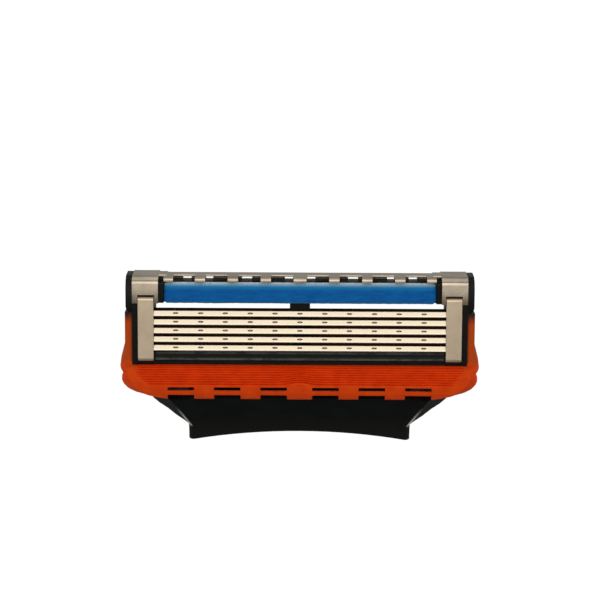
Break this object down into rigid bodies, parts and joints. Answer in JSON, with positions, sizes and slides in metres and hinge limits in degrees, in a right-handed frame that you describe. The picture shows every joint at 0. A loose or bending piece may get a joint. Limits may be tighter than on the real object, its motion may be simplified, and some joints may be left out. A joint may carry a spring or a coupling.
{
  "type": "cartridge razor head",
  "caption": "Shaving cartridge with stacked spring-floating blades, finned soft guard, blue strip, rear trimmer and a black pivoting handle socket.",
  "frame": {"origin": "centre of the mouth of the handle socket, on the underside of the connector", "axes": "+X along the blades, -Y out of the shaving face, +Z from the connector up to the cap"},
  "size_m": [0.0418, 0.0136, 0.0206],
  "materials": {
    "housing_plastic": "satin black moulding",
    "connector_plastic": "satin black moulding",
    "guard_elastomer": "soft satin orange elastomer",
    "strip_gel": "waxy blue lubricating polymer",
    "blade_steel": "bright ground blade steel",
    "support_steel": "plain stamped steel",
    "clip_metal": "satin rolled aluminium",
    "trimmer_steel": "satin stamped steel"
  },
  "bodies": {
    "connector": {"connector": "connector_plastic"},
    "head": {"housing": "housing_plastic", "guard_overmould": "guard_elastomer", "lubricating_strip": "strip_gel", "clip_left": "clip_metal", "clip_right": "clip_metal", "trimmer_bracket": "trimmer_steel", "trimmer_blade": "blade_steel"},
    "blade_unit_1": {"blade_1": "blade_steel", "blade_support_1": "support_steel"},
    "blade_unit_2": {"blade_2": "blade_steel", "blade_support_2": "support_steel"},
    "blade_unit_3": {"blade_3": "blade_steel", "blade_support_3": "support_steel"},
    "blade_unit_4": {"blade_4": "blade_steel", "blade_support_4": "support_steel"},
    "blade_unit_5": {"blade_5": "blade_steel", "blade_support_5": "support_steel"}
  },
  "joints": [
    {"name": "head_pivot", "type": "hinge", "parent": "connector", "child": "head", "pos_m": [0, -0.0089, 0.00732], "axis": [-1, 0, 0], "range_deg": [0, 40]},
    {"name": "blade_float_1", "type": "slide", "parent": "head", "child": "blade_unit_1", "axis": [0, 1, 0], "range_m": [0, 0.00025], "stiffness_N_per_m": 300, "springref_m": -0.0005},
    {"name": "blade_float_2", "type": "slide", "parent": "head", "child": "blade_unit_2", "axis": [0, 1, 0], "range_m": [0, 0.00025], "stiffness_N_per_m": 300, "springref_m": -0.0005},
    {"name": "blade_float_3", "type": "slide", "parent": "head", "child": "blade_unit_3", "axis": [0, 1, 0], "range_m": [0, 0.00025], "stiffness_N_per_m": 300, "springref_m": -0.0005},
    {"name": "blade_float_4", "type": "slide", "parent": "head", "child": "blade_unit_4", "axis": [0, 1, 0], "range_m": [0, 0.00025], "stiffness_N_per_m": 300, "springref_m": -0.0005},
    {"name": "blade_float_5", "type": "slide", "parent": "head", "child": "blade_unit_5", "axis": [0, 1, 0], "range_m": [0, 0.00025], "stiffness_N_per_m": 300, "springref_m": -0.0005}
  ]
}
